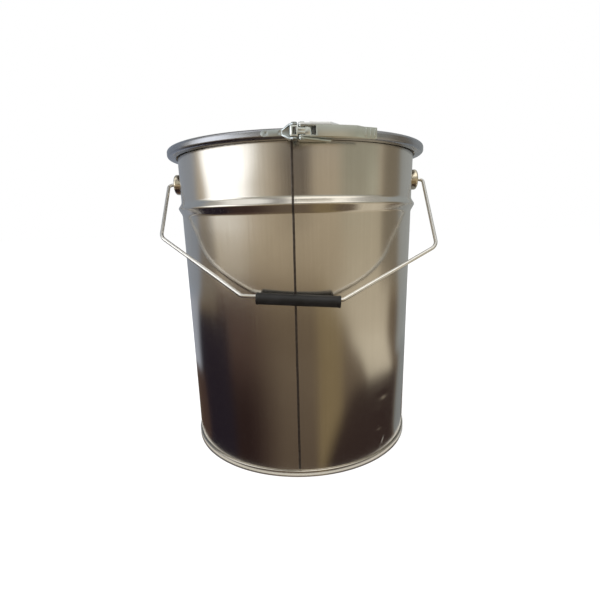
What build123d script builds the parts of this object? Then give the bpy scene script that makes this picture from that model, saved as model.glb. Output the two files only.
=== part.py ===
from build123d import *
import math
import os

os.makedirs("parts", exist_ok=True)

# The pail stands on z = 0 with its axis on Z. Its front, with the weld, the closing lever
# and the hanging bail, faces -Y, and the two ears lie on X. Lengths are millimetres.
# Azimuths are degrees round Z from the front, towards +X.

# Sheet and wire stock
sheet = 0.5
ring_sheet = 1.0
bracket_sheet = 1.5
lever_sheet = 1.1
link_sheet = 1.4
ear_sheet = 1.0
wire_diameter = 4.2

# Clearances
running_clearance = 0.05
seam_gap = 0.12
seat_gap = 0.3
plug_gap = 0.4
skirt_gap = 2.5
ring_gap = 0.35
ring_side_gap = 3.5
ring_joint_gap = 0.3
lever_side_gap = 0.3

# Body shell
body_bottom_radius = 144.75
body_top_radius = 150.0
curl_height = 371.1
curl_radius = 2.25
curl_turn = 285.0
wall_foot_height = 10.0
wall_foot_bend = 30.0
bead_drop = 64.0
bead_rise = 4.0
bead_flat = 1.6
bead_upper_slope = 5.8
bead_lower_slope = 7.4
bead_bend = 2.6
bead_blend = 8.0
lap_azimuth = -1.3
lap_width = 2.5
lap_rise = 0.4

# Bottom end and its double seam
seam_height = 8.0
seam_hook_length = 4.5
chime_bend = 0.9
bottom_recess = 7.0
bottom_bead_radius = 108.0
bottom_bead_width = 8.0
bottom_bead_depth = 1.5
bottom_bead_slope = 4.0
panel_bend = 3.0
countersink_bend = 2.5
sealant_width = 0.4
sealant_height = 0.6

# Lid and gasket
gasket_thickness = 1.2
gasket_width = 5.4
gasket_inset = 0.9
gasket_bend = 0.4
lid_depth = 16.0
lid_panel_rise = 3.0
lid_groove_width = 6.0
lid_skirt_length = 5.5
lid_rim_bend = 2.0
lid_plug_bend = 1.5
lid_bead_radii = (62.0, 112.0)
lid_bead_width = 7.0
lid_bead_rise = 1.6
lid_bead_slope = 3.5

# Closing ring
ring_lip_gap = 2.2
ring_upper_lip_gap = 3.0
ring_bend = 3.5
ring_left_end_azimuth = -0.7
ring_right_end_azimuth = 0.9

# Closure: pivots as x and distance outside the ring's face, a little below the ring's middle
closure_drop = 0.55
hook_pin_x = -0.6
hook_pin_out = 8.5
hook_pin_radius = 1.8
lever_pivot_x = 6.4
lever_pivot_out = 8.8
lever_rivet_radius = 1.8
toggle_radius = 6.5
over_centre_angle = 11.0
link_pin_radius = 1.8
rivet_head_radius = 2.8
rivet_head_height = 1.0
rivet_inner_head_radius = 2.6
rivet_inner_head_height = 0.6

# Hook bracket on the ring's left end
strip_height = 6.0
strip_rise = 0.45
strip_left_x = -32.4
strip_right_x = -12.0
flare_right_x = -5.4
hook_ear_radius = 3.2
ear_corner_radius = 0.7
weld_mark_places = (-26.8, -14.2)
weld_mark_radius = 1.2
weld_mark_depth = 0.6

# Lever bracket on the ring's right end
saddle_left_azimuth = 1.0
saddle_right_azimuth = 13.2
saddle_lip_gap = 4.5
lever_ear_radius = 3.3
lever_ear_left_x = 4.6
lever_ear_right_x = 34.0
lever_ear_foot_inset = 5.0
shield_right_x = 48.0
shield_start_azimuth = 4.5
shield_azimuth = 10.7
shield_end_azimuth = 15.4
shield_lip_rise = 0.9

# Lever
lever_height = 10.2
lever_out = 13.0
lever_gap = 3.6
lever_end_radius = 3.3
lever_full_azimuth = 4.2
lever_corner_radius = 0.8
window_end_azimuth = 6.4
lever_bend_azimuth = 19.6
tab_start_azimuth = 22.6
tab_end_azimuth = 27.6
tab_out = 9.2
tab_gap = 5.6
tab_end_wall_angle = 0.5
tab_rib_count = 3
tab_rib_radius = 0.7
tab_rib_inset = 0.9

# Link
throat_gap = 1.0
hook_front_gap = 0.35
finger_reach = 1.0
claw_height = 9.2
strap_height = 5.6
eye_height = 7.2
claw_right_x = 2.8
claw_bar = 1.4
claw_window_left_x = -2.0
link_bend = 1.9
eye_turn = 290.0
strap_rib_spacing = 2.8
strap_rib_height = 0.9
strap_rib_length = 6.0
strap_rib_rise = 0.4

# Ear cups, hung below the body's curl
ear_drop = 31.9
ear_radius = 13.0
ear_depth = 10.9
ear_bend = 3.0

# Bail, drawn in its own plane as x and distance from the ear axis
bail_leg_out = 8.7
bail_left_corner_in = 8.5
bail_left_corner_reach = 101.2
bail_left_bend = (-59.3, 194.2)
bail_right_bend = (45.2, 203.0)
bail_right_corner_in = 9.7
bail_right_corner_reach = 126.5
bail_ear_bend = 5.0
bail_corner_bend = 18.0
bail_grip_bend = 6.0
bail_end_inset = 3.0
bail_head_radius = 3.6
bail_head_height = 1.5

# Grip
grip_length = 87.6
grip_radius = 6.4
grip_middle_x = -0.4
grip_drop = 2.6
grip_wall_gap = 1.17
grip_wire_gap = 0.3
grip_edge = 0.6


def polar(radius, azimuth):
    """Point in plan at a radius and an azimuth from the front."""
    angle = math.radians(azimuth)
    return (radius * math.sin(angle), -radius * math.cos(angle))


def radial_plane(azimuth):
    """Upright plane through the axis: local x runs outwards at the azimuth, local y up."""
    x, y = polar(1, azimuth)
    return Plane(origin=(0, 0, 0), x_dir=(x, y, 0), z_dir=(y, -x, 0))


# Body wall, described by the middle of its sheet
wall_foot_radius = body_bottom_radius - sheet / 2
wall_top_radius = body_top_radius - sheet / 2
wall_taper = (wall_top_radius - wall_foot_radius) / (curl_height - wall_foot_height)
seam_pitch = sheet + seam_gap
seam_turn_height = sheet + seam_gap + seam_pitch + sheet / 2


def wall_radius(z):
    """Radius of the middle of the wall's sheet at a height above the wall's foot."""
    return wall_foot_radius + wall_taper * (z - wall_foot_height)


bead_height = curl_height - bead_drop
bead_low = bead_height - bead_flat / 2
bead_high = bead_height + bead_flat / 2
bead_crest = wall_radius(bead_height) + bead_rise
wall_bends = [bead_blend, bead_bend, bead_bend, bead_blend]


def wall_points(low, high, shift):
    """Corners of the wall's section from one height to another, moved out by a shift."""
    crest = bead_crest + shift
    return [
        (wall_radius(low) + shift, low),
        (wall_radius(bead_low - bead_lower_slope) + shift, bead_low - bead_lower_slope),
        (crest, bead_low),
        (crest, bead_high),
        (wall_radius(bead_high + bead_upper_slope) + shift, bead_high + bead_upper_slope),
        (wall_radius(high) + shift, high),
    ]


lap_angle = math.degrees(lap_width / body_top_radius)
lap_top = curl_height - curl_radius - ring_gap - ring_sheet - sheet

with BuildPart() as body_shell:
    with BuildSketch(Plane.XZ):
        with BuildLine():
            hook_foot = (wall_foot_radius + 2 * seam_pitch, seam_turn_height)
            hook_tip = (hook_foot[0], seam_turn_height + seam_hook_length)
            Line(hook_tip, hook_foot)
            turn = JernArc(hook_foot, (0, -1), seam_pitch, -180)
            wall = FilletPolyline(
                turn @ 1,
                *wall_points(wall_foot_height, curl_height, 0),
                radius=[wall_foot_bend] + wall_bends,
            )
            JernArc(wall @ 1, wall % 1, curl_radius, -curl_turn)
        trace(line_width=sheet)
    revolve(axis=Axis.Z)
    with BuildSketch(radial_plane(lap_azimuth - lap_angle / 2)):
        with BuildLine():
            FilletPolyline(
                *wall_points(wall_foot_height, lap_top, lap_rise), radius=wall_bends
            )
        trace(line_width=sheet)
    revolve(axis=Axis.Z, revolution_arc=lap_angle)
body_shell.part.label = "body_shell"
export_step(body_shell.part, "parts/body_shell.step")

# Bottom end: a disc pressed into a shallow pan, its edge rolled round the body's hook
bottom_panel_height = bottom_recess + sheet / 2
countersink_radius = wall_foot_radius - seam_pitch
seam_outer_radius = wall_foot_radius + 3 * seam_pitch
seam_top_turn_height = seam_height - seam_pitch - sheet / 2
bottom_bead_inner = bottom_bead_radius - bottom_bead_width / 2
bottom_bead_outer = bottom_bead_radius + bottom_bead_width / 2
bottom_bead_height = bottom_panel_height - bottom_bead_depth

with BuildPart() as bottom_end:
    with BuildSketch(Plane.XZ):
        with BuildLine():
            pan = FilletPolyline(
                (0, bottom_panel_height),
                (bottom_bead_inner - bottom_bead_slope, bottom_panel_height),
                (bottom_bead_inner, bottom_bead_height),
                (bottom_bead_outer, bottom_bead_height),
                (bottom_bead_outer + bottom_bead_slope, bottom_panel_height),
                (countersink_radius, bottom_panel_height),
                (countersink_radius, sheet / 2),
                (seam_outer_radius, sheet / 2),
                (seam_outer_radius, seam_top_turn_height),
                radius=[panel_bend] * 4 + [countersink_bend, chime_bend, chime_bend],
            )
            roll = JernArc(pan @ 1, (0, 1), seam_pitch, 180)
            Line(roll @ 1, (roll @ 1) - (0, seam_hook_length))
        trace(line_width=sheet)
    revolve(axis=Axis.Z)
bottom_end.part.label = "bottom_end"
export_step(bottom_end.part, "parts/bottom_end.step")

# Sealing compound on the body hook's edge, inside the rolled seam
with BuildPart() as seam_sealant:
    with BuildSketch(Plane.XZ):
        with Locations((hook_tip[0], hook_tip[1] + sealant_height / 2)):
            Rectangle(sealant_width, sealant_height)
    revolve(axis=Axis.Z)
seam_sealant.part.label = "seam_sealant"
export_step(seam_sealant.part, "parts/seam_sealant.step")

# Lid: rim over the body's curl, plug wall inside the mouth, sunk panel with raised beads
curl_centre_radius = wall_top_radius + curl_radius
curl_edge = curl_centre_radius + curl_radius + sheet / 2
curl_top = curl_height + curl_radius + sheet / 2
curl_bottom = curl_height - curl_radius - sheet / 2
gasket_bottom = curl_top + seat_gap
rim_under = gasket_bottom + gasket_thickness
rim_height = rim_under + sheet / 2
lid_top = rim_under + sheet
plug_radius = body_top_radius - sheet - plug_gap - sheet / 2
skirt_radius = curl_edge + skirt_gap + sheet / 2
lid_groove_height = lid_top - lid_depth
lid_panel_height = lid_groove_height + lid_panel_rise
lid_panel_edge = plug_radius - lid_groove_width


def lid_bead(radius):
    """Corners of one raised ring on the lid's panel."""
    half = lid_bead_width / 2
    crest = lid_panel_height + lid_bead_rise
    return [
        (radius - half - lid_bead_slope, lid_panel_height),
        (radius - half, crest),
        (radius + half, crest),
        (radius + half + lid_bead_slope, lid_panel_height),
    ]


with BuildPart() as lid:
    with BuildSketch(Plane.XZ):
        with BuildLine():
            lid_beads = [corner for radius in lid_bead_radii for corner in lid_bead(radius)]
            FilletPolyline(
                (0, lid_panel_height),
                *lid_beads,
                (lid_panel_edge - lid_panel_rise, lid_panel_height),
                (lid_panel_edge, lid_groove_height),
                (plug_radius, lid_groove_height),
                (plug_radius, rim_height),
                (skirt_radius, rim_height),
                (skirt_radius, rim_height - lid_skirt_length),
                radius=[panel_bend] * len(lid_beads)
                + [panel_bend / 2] * 2
                + [lid_plug_bend, lid_plug_bend, lid_rim_bend],
            )
        trace(line_width=sheet)
    revolve(axis=Axis.Z)
lid.part.label = "lid"
export_step(lid.part, "parts/lid.step")

# Gasket, flat ring under the lid's rim
gasket_inner = plug_radius + sheet / 2 + gasket_inset
with BuildPart() as lid_gasket:
    with BuildSketch(Plane.XZ) as gasket_section:
        with Locations((gasket_inner + gasket_width / 2, gasket_bottom + gasket_thickness / 2)):
            Rectangle(gasket_width, gasket_thickness)
        fillet(gasket_section.vertices(), gasket_bend)
    revolve(axis=Axis.Z)
lid_gasket.part.label = "lid_gasket"
export_step(lid_gasket.part, "parts/lid_gasket.step")

# Closing ring: sheet channel round the lid's rim and the body's curl
ring_face = skirt_radius + sheet / 2 + ring_side_gap + ring_sheet
ring_bottom = curl_bottom - ring_gap - ring_sheet
ring_top = lid_top + ring_gap + ring_sheet
ring_lip = body_top_radius + ring_lip_gap
ring_upper_lip = body_top_radius + ring_upper_lip_gap


def ring_profile(growth, lower_lip, upper_lip):
    """Corners of the ring's outer section, grown outwards, from the lower to the upper lip."""
    return [
        (lower_lip, ring_bottom - growth),
        (ring_face + growth, ring_bottom - growth),
        (ring_face + growth, ring_top + growth),
        (upper_lip, ring_top + growth),
    ]


back_gap_angle = math.degrees(ring_joint_gap / 2 / ring_face)
ring_halves = {
    "left": (-180 + back_gap_angle, ring_left_end_azimuth),
    "right": (ring_right_end_azimuth, 180 - back_gap_angle),
}
for side, (start, end) in ring_halves.items():
    with BuildPart() as ring_band:
        with BuildSketch(radial_plane(start)):
            with BuildLine():
                outer = FilletPolyline(*ring_profile(0, ring_lip, ring_upper_lip), radius=ring_bend)
                inner = FilletPolyline(
                    *ring_profile(-ring_sheet, ring_lip, ring_upper_lip),
                    radius=ring_bend - ring_sheet,
                )
                Line(outer @ 0, inner @ 0)
                Line(outer @ 1, inner @ 1)
            make_face()
        revolve(axis=Axis.Z, revolution_arc=end - start)
    ring_band.part.label = f"ring_band_{side}"
    export_step(ring_band.part, f"parts/ring_band_{side}.step")

# Closure pivots in plan and the heights they share
closure_height = (ring_bottom + ring_top) / 2 - closure_drop
hook_pin_at = (hook_pin_x, -ring_face - hook_pin_out)
lever_pivot_at = (lever_pivot_x, -ring_face - lever_pivot_out)
toggle_angle = math.radians(over_centre_angle)
link_pin_at = (
    lever_pivot_at[0] + toggle_radius * math.cos(toggle_angle),
    lever_pivot_at[1] + toggle_radius * math.sin(toggle_angle),
)
lever_half = lever_height / 2
lever_outer = ring_face + lever_out
ear_inner = lever_half + lever_side_gap
ear_outer = ear_inner + bracket_sheet

# Hook bracket: strip on the band, flaring to a web with two flanges that hold the hook pin
strip_mid_height = closure_height + strip_rise
strip_low = strip_mid_height - strip_height / 2
strip_high = strip_mid_height + strip_height / 2
ears_low = closure_height - ear_outer
ears_high = closure_height + ear_outer
strip_left_azimuth = math.degrees(math.asin(strip_left_x / ring_face))
strip_right_azimuth = math.degrees(math.asin(strip_right_x / ring_face))
flange_foot_radius = ring_face + bracket_sheet - ear_corner_radius
hook_ear_right_x = hook_pin_x + hook_ear_radius
tail_x = strip_left_x + strip_height / 2

with BuildPart() as hook_bracket:
    with BuildSketch(Plane.XY.offset(ears_low)):
        with Locations(hook_pin_at):
            Circle(hook_ear_radius)
        with Locations(
            polar(flange_foot_radius, strip_right_azimuth),
            polar(flange_foot_radius, ring_left_end_azimuth),
        ):
            Circle(ear_corner_radius)
        make_hull()
    extrude(amount=2 * ear_outer)
    # Open space between the flanges, which follow the flare
    with BuildSketch(Plane.XZ):
        with BuildLine():
            Polyline(
                (strip_right_x, strip_low + bracket_sheet),
                (flare_right_x, ears_low + bracket_sheet),
                (hook_ear_right_x, ears_low + bracket_sheet),
                (hook_ear_right_x, ears_high - bracket_sheet),
                (flare_right_x, ears_high - bracket_sheet),
                (strip_right_x, strip_high - bracket_sheet),
                close=True,
            )
        make_face()
    extrude(amount=lever_outer, mode=Mode.SUBTRACT)
    with BuildSketch(radial_plane(strip_left_azimuth)):
        with Locations((ring_face + bracket_sheet / 2, closure_height)):
            Rectangle(bracket_sheet, 2 * ear_outer)
    revolve(axis=Axis.Z, revolution_arc=ring_left_end_azimuth - strip_left_azimuth)
    # Front outline: round tail on the left, flare to the ears on the right
    with BuildSketch(Plane.XZ):
        with Locations((tail_x, strip_mid_height)):
            Circle(strip_height / 2)
        with BuildLine():
            Polyline(
                (tail_x, strip_low),
                (strip_right_x, strip_low),
                (flare_right_x, ears_low),
                (hook_ear_right_x, ears_low),
                (hook_ear_right_x, ears_high),
                (flare_right_x, ears_high),
                (strip_right_x, strip_high),
                (tail_x, strip_high),
                close=True,
            )
        make_face()
    extrude(amount=lever_outer, mode=Mode.INTERSECT)
    with Locations((*hook_pin_at, closure_height)):
        Cylinder(hook_pin_radius, 2 * ear_outer, mode=Mode.SUBTRACT)
    # Spot-weld marks pressed into the strip
    for weld_x in weld_mark_places:
        mark_x, mark_y = polar(ring_face, math.degrees(math.asin(weld_x / ring_face)))
        mark_plane = Plane(origin=(mark_x, mark_y, strip_mid_height), z_dir=(mark_x, mark_y, 0))
        with BuildSketch(mark_plane.offset(bracket_sheet - weld_mark_depth)):
            Circle(weld_mark_radius)
        extrude(amount=2 * weld_mark_depth, mode=Mode.SUBTRACT)
hook_bracket.part.label = "hook_bracket"
export_step(hook_bracket.part, "parts/hook_bracket.step")

# Hook pin: upright rivet through the hook bracket's ears
with BuildPart() as hook_pin:
    with Locations((*hook_pin_at, closure_height)):
        Cylinder(hook_pin_radius, 2 * ear_outer)
    for side in (-1, 1):
        head_middle = closure_height + side * (ear_outer + rivet_head_height / 2)
        with Locations((*hook_pin_at, head_middle)):
            Cylinder(rivet_head_radius, rivet_head_height)
    head_rims = hook_pin.edges().filter_by(GeomType.CIRCLE).sort_by(Axis.Z)
    fillet([head_rims[0], head_rims[-1]], rivet_head_height / 2)
hook_pin.part.label = "hook_pin"
export_step(hook_pin.part, "parts/hook_pin.step")

# Lever bracket: saddle wrapped round the band's right end, two ears for the lever's rivets
saddle_lip = body_top_radius + saddle_lip_gap
ear_foot_radius = ring_face - lever_ear_foot_inset
lever_ear_feet = [
    (x, -math.sqrt(ear_foot_radius**2 - x**2)) for x in (lever_ear_left_x, lever_ear_right_x)
]
shield_foot = (shield_right_x, -math.sqrt(ear_foot_radius**2 - shield_right_x**2))
shield_edge = lever_outer - ear_corner_radius
shield_point = polar(shield_edge, shield_azimuth)

with BuildPart() as lever_bracket:
    for side in (-1, 1):
        with BuildSketch(Plane.XY.offset(closure_height + side * ear_inner)):
            with Locations(lever_pivot_at):
                Circle(lever_ear_radius)
            with Locations(*lever_ear_feet):
                Circle(ear_corner_radius)
            # The upper ear also covers the lever's root
            if side > 0:
                with Locations(shield_point, shield_foot):
                    Circle(ear_corner_radius)
            make_hull()
            with Locations(lever_pivot_at):
                Circle(lever_rivet_radius, mode=Mode.SUBTRACT)
        extrude(amount=side * bracket_sheet)
    with BuildSketch(radial_plane(saddle_left_azimuth - saddle_right_azimuth)):
        with BuildLine():
            band_outline = FilletPolyline(
                *ring_profile(0, ring_lip, ring_lip), radius=ring_bend
            )
            Line(band_outline @ 0, band_outline @ 1)
        make_face()
    revolve(axis=Axis.Z, revolution_arc=3 * saddle_right_azimuth, mode=Mode.SUBTRACT)
    with BuildSketch(radial_plane(saddle_left_azimuth)):
        with BuildLine():
            outside = FilletPolyline(
                *ring_profile(bracket_sheet, saddle_lip, saddle_lip),
                radius=ring_bend + bracket_sheet,
            )
            inside = FilletPolyline(
                *ring_profile(0, saddle_lip, saddle_lip), radius=ring_bend
            )
            Line(outside @ 0, inside @ 0)
            Line(outside @ 1, inside @ 1)
        make_face()
    revolve(axis=Axis.Z, revolution_arc=saddle_right_azimuth - saddle_left_azimuth)
    # Raised lip along the upper ear's front edge
    with BuildSketch(Plane.XY.offset(closure_height + ear_inner)):
        with BuildLine():
            Polyline(
                polar(shield_edge, shield_start_azimuth),
                shield_point,
                polar(ring_face, shield_end_azimuth),
            )
        trace(line_width=2 * ear_corner_radius)
    extrude(amount=bracket_sheet + shield_lip_rise)
    # The lower wing stops outside the body's curl, so that the ring lifts off past it
    with Locations((0, 0, ring_bottom)):
        Cylinder(curl_edge + ring_gap, closure_height - ring_bottom, mode=Mode.SUBTRACT)
lever_bracket.part.label = "lever_bracket"
export_step(lever_bracket.part, "parts/lever_bracket.step")

# Lever rivets: short pivots above and below, leaving the middle free for the link
rivet_inner_face = lever_half - lever_sheet - running_clearance
with BuildPart() as lever_rivets:
    for side in (-1, 1):
        rivet_spans = (
            (rivet_inner_face, ear_outer, lever_rivet_radius),
            (ear_outer, ear_outer + rivet_head_height, rivet_head_radius),
            (rivet_inner_face - rivet_inner_head_height, rivet_inner_face, rivet_inner_head_radius),
        )
        for near, far, radius in rivet_spans:
            with Locations((*lever_pivot_at, closure_height + side * (near + far) / 2)):
                Cylinder(radius, far - near)
    head_rims = lever_rivets.edges().filter_by(GeomType.CIRCLE).sort_by(Axis.Z)
    fillet([head_rims[0], head_rims[-1]], rivet_head_height / 2)
lever_rivets.part.label = "lever_rivets"
export_step(lever_rivets.part, "parts/lever_rivets.step")

# Lever: channel open towards the ring, windowed beside its pivot, stepped in to a ribbed tab
lever_inner = ring_face + lever_gap
tab_outer = ring_face + tab_out
tab_inner = ring_face + tab_gap
pocket_half = lever_half - lever_sheet
pocket_start_azimuth = -lever_full_azimuth
pocket_end_azimuth = tab_end_azimuth - tab_end_wall_angle


def plan_arc(radius, start, end):
    """Arc in plan round the pail's axis between two azimuths."""
    return CenterArc((0, 0), radius, start - 90, end - start)


with BuildPart() as lever:
    with BuildSketch(Plane.XY.offset(closure_height - lever_half)):
        with Locations(lever_pivot_at):
            Circle(lever_end_radius)
        with Locations(
            polar(lever_outer - lever_corner_radius, lever_full_azimuth),
            polar(lever_inner + lever_corner_radius, lever_full_azimuth),
        ):
            Circle(lever_corner_radius)
        make_hull()
        with BuildLine():
            main_outer = plan_arc(lever_outer, lever_full_azimuth, lever_bend_azimuth)
            tab_face = plan_arc(tab_outer, tab_start_azimuth, tab_end_azimuth)
            tab_back = plan_arc(tab_inner, tab_end_azimuth, tab_start_azimuth)
            main_inner = plan_arc(lever_inner, lever_bend_azimuth, lever_full_azimuth)
            Line(main_outer @ 1, tab_face @ 0)
            Line(tab_face @ 1, tab_back @ 0)
            Line(tab_back @ 1, main_inner @ 0)
            Line(main_inner @ 1, main_outer @ 0)
        make_face()
    extrude(amount=lever_height)
    with BuildSketch(Plane.XY.offset(closure_height - pocket_half)):
        with BuildLine():
            web_back = plan_arc(lever_outer - lever_sheet, pocket_start_azimuth, lever_bend_azimuth)
            tab_web_back = plan_arc(tab_outer - lever_sheet, tab_start_azimuth, pocket_end_azimuth)
            open_side = plan_arc(ring_face, pocket_end_azimuth, pocket_start_azimuth)
            Line(web_back @ 1, tab_web_back @ 0)
            Line(tab_web_back @ 1, open_side @ 0)
            Line(open_side @ 1, web_back @ 0)
        make_face()
        with BuildLine():
            window_back = plan_arc(ring_face, pocket_start_azimuth, window_end_azimuth)
            window_front = plan_arc(
                lever_outer + lever_sheet, window_end_azimuth, pocket_start_azimuth
            )
            Line(window_back @ 1, window_front @ 0)
            Line(window_front @ 1, window_back @ 0)
        make_face()
    extrude(amount=2 * pocket_half, mode=Mode.SUBTRACT)
    with Locations((*lever_pivot_at, closure_height)):
        Cylinder(lever_rivet_radius + running_clearance, lever_height, mode=Mode.SUBTRACT)
    with Locations((*link_pin_at, closure_height)):
        Cylinder(link_pin_radius, lever_height, mode=Mode.SUBTRACT)
    rib_step = (tab_end_azimuth - tab_start_azimuth) / tab_rib_count
    for i in range(tab_rib_count):
        rib_at = polar(tab_outer, tab_start_azimuth + rib_step * (i + 0.5))
        with Locations((*rib_at, closure_height)):
            Cylinder(tab_rib_radius, lever_height - 2 * tab_rib_inset)
lever.part.label = "lever"
export_step(lever.part, "parts/lever.step")

# Link pin: flush rivet through the lever's two flanges
with BuildPart() as link_pin:
    with Locations((*link_pin_at, closure_height)):
        Cylinder(link_pin_radius, lever_height)
link_pin.part.label = "link_pin"
export_step(link_pin.part, "parts/link_pin.step")

# Link: strap curled round the link pin at one end, open claw round the hook pin at the other
eye_radius = link_pin_radius + running_clearance + link_sheet / 2
strap_start = Vector(
    hook_pin_at[0],
    hook_pin_at[1] - hook_pin_radius - hook_front_gap - link_sheet / 2,
)
to_eye = Vector(*link_pin_at) - strap_start
strap_slope = math.atan2(to_eye.Y, to_eye.X) - math.asin(eye_radius / to_eye.length)
strap_direction = Vector(math.cos(strap_slope), math.sin(strap_slope))
strap_length = math.sqrt(to_eye.length**2 - eye_radius**2)
strap_end = strap_start + strap_direction * strap_length
finger_x = hook_pin_at[0] - hook_pin_radius - throat_gap - link_sheet / 2
finger_root = (finger_x, strap_start.Y - (strap_start.X - finger_x) * math.tan(strap_slope))
finger_tip = (finger_x, hook_pin_at[1] + finger_reach)
eye_left_x = link_pin_at[0] - eye_radius - link_sheet / 2
link_right_x = link_pin_at[0] + eye_radius + link_sheet
link_left_x = finger_x - link_sheet
claw_window_right_x = claw_right_x - claw_bar
rib_middle = strap_start + strap_direction * (
    ((claw_right_x + eye_left_x) / 2 - strap_start.X) / strap_direction.X
)
strap_outward = (strap_direction.Y, -strap_direction.X, 0)

with BuildPart() as link:
    with BuildSketch(Plane.XY.offset(closure_height - claw_height / 2)):
        with BuildLine():
            strap = FilletPolyline(finger_tip, finger_root, strap_end, radius=link_bend)
            JernArc(strap @ 1, strap % 1, eye_radius, eye_turn)
        trace(line_width=link_sheet)
    extrude(amount=claw_height)
    # Front outline: tall claw, narrow strap, eye a little taller than the strap
    with BuildSketch(Plane.XZ):
        spans = (
            (link_left_x, claw_right_x, claw_height),
            (claw_right_x, eye_left_x, strap_height),
            (eye_left_x, link_right_x, eye_height),
        )
        for left, right, height in spans:
            with Locations(((left + right) / 2, closure_height)):
                Rectangle(right - left, height)
    extrude(amount=lever_outer, mode=Mode.INTERSECT)
    # Window in the claw, through which the hook pin shows
    with BuildSketch(Plane.XZ):
        with Locations(((claw_window_left_x + claw_window_right_x) / 2, closure_height)):
            Rectangle(claw_window_right_x - claw_window_left_x, claw_height - 2 * claw_bar)
    extrude(amount=lever_outer, mode=Mode.SUBTRACT)
    rib_plane = Plane(
        origin=(rib_middle.X, rib_middle.Y, closure_height),
        x_dir=strap_direction,
        z_dir=strap_outward,
    )
    with BuildSketch(rib_plane):
        with GridLocations(strap_rib_spacing, strap_rib_spacing, 1, 2):
            Rectangle(strap_rib_length, strap_rib_height)
    extrude(amount=link_sheet / 2 + strap_rib_rise)
link.part.label = "link"
export_step(link.part, "parts/link.step")

# Ear cups: round pressed cups set against the wall, pierced for the bail's ends
ear_height = curl_height - ear_drop
ear_face_x = wall_radius(ear_height) + sheet / 2 + ear_depth
ear_axis = Axis((0, 0, ear_height), (1, 0, 0))
wire_radius = wire_diameter / 2
bail_hole_radius = wire_radius + running_clearance
wall_cut_low = ear_height - 2 * ear_radius
wall_cut_high = ear_height + 2 * ear_radius
wall_skin = sheet / 2 + running_clearance

for side, name in ((-1, "left"), (1, "right")):
    with BuildPart() as ear:
        with BuildSketch(Plane.XZ):
            with BuildLine():
                rim = FilletPolyline(
                    (0, ear_height + ear_radius),
                    (side * ear_face_x, ear_height + ear_radius),
                    (side * ear_face_x, ear_height),
                    radius=ear_bend,
                )
                Polyline(rim @ 1, (0, ear_height), rim @ 0)
            make_face()
        revolve(axis=ear_axis)
        with BuildSketch(Plane.XZ):
            with BuildLine():
                hollow = FilletPolyline(
                    (0, ear_height + ear_radius - ear_sheet),
                    (side * (ear_face_x - ear_sheet), ear_height + ear_radius - ear_sheet),
                    (side * (ear_face_x - ear_sheet), ear_height),
                    radius=ear_bend - ear_sheet,
                )
                Polyline(hollow @ 1, (0, ear_height), hollow @ 0)
            make_face()
        revolve(axis=ear_axis, mode=Mode.SUBTRACT)
        with BuildSketch(Plane.XZ):
            with BuildLine():
                Polyline(
                    (0, wall_cut_low),
                    (wall_radius(wall_cut_low) + wall_skin, wall_cut_low),
                    (wall_radius(wall_cut_high) + wall_skin, wall_cut_high),
                    (0, wall_cut_high),
                    close=True,
                )
            make_face()
        revolve(axis=Axis.Z, mode=Mode.SUBTRACT)
        with Locations(Location((side * ear_face_x, 0, ear_height), (0, 90, 0))):
            Cylinder(bail_hole_radius, 4 * ear_sheet, mode=Mode.SUBTRACT)
    ear.part.label = f"ear_{name}"
    export_step(ear.part, f"parts/ear_{name}.step")

# Bail: one wire bent in a plane through the ear axis, leaning down until the grip meets the wall
flat_run = Vector(*bail_right_bend) - Vector(*bail_left_bend)
flat_tilt = math.atan2(flat_run.Y, flat_run.X)
grip_reach = bail_left_bend[1] + (grip_middle_x - bail_left_bend[0]) * math.tan(flat_tilt) + grip_drop
grip_out = wall_radius(ear_height) + sheet / 2 + grip_wall_gap + grip_radius
wall_lean = math.atan(wall_taper)
bail_lean = math.asin(grip_out * math.cos(wall_lean) / grip_reach) - wall_lean
bail_down = Vector(0, -math.sin(bail_lean), -math.cos(bail_lean))
bail_plane = Plane(
    origin=(0, 0, ear_height),
    x_dir=(1, 0, 0),
    z_dir=(0, math.cos(bail_lean), -math.sin(bail_lean)),
)
bail_leg_x = ear_face_x + bail_leg_out
bail_end_x = ear_face_x - bail_end_inset

with BuildPart() as bail_wire:
    with BuildLine(bail_plane):
        bail_path = FilletPolyline(
            (-bail_end_x, 0),
            (-bail_leg_x, 0),
            (bail_left_corner_in - bail_leg_x, bail_left_corner_reach),
            bail_left_bend,
            bail_right_bend,
            (bail_leg_x - bail_right_corner_in, bail_right_corner_reach),
            (bail_leg_x, 0),
            (bail_end_x, 0),
            radius=[
                bail_ear_bend,
                bail_corner_bend,
                bail_grip_bend,
                bail_grip_bend,
                bail_corner_bend,
                bail_ear_bend,
            ],
        )
    with BuildSketch(Plane(origin=bail_path @ 0, z_dir=bail_path % 0)):
        Circle(wire_radius)
    sweep()
    for side in (-1, 1):
        head_x = side * (bail_end_x - bail_head_height / 2)
        with Locations(Location((head_x, 0, ear_height), (0, 90, 0))):
            Cylinder(bail_head_radius, bail_head_height)
bail_wire.part.label = "bail_wire"
export_step(bail_wire.part, "parts/bail_wire.step")

# Grip: plastic tube hanging loosely on the wire's straight stretch
grip_axis = Vector(1, 0, 0) * math.cos(flat_tilt) + bail_down * math.sin(flat_tilt)
grip_middle = Vector(grip_middle_x, 0, ear_height) + bail_down * grip_reach
grip_bore_radius = wire_radius + grip_drop + grip_wire_gap

with BuildPart() as bail_grip:
    with BuildSketch(Plane(origin=grip_middle, z_dir=grip_axis)):
        Circle(grip_radius)
        Circle(grip_bore_radius, mode=Mode.SUBTRACT)
    extrude(amount=grip_length / 2, both=True)
    fillet(bail_grip.edges().filter_by(GeomType.CIRCLE), grip_edge)
bail_grip.part.label = "bail_grip"
export_step(bail_grip.part, "parts/bail_grip.step")
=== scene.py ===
import math

import bmesh
import bpy
import numpy as np
from mathutils import Matrix, Vector


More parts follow.
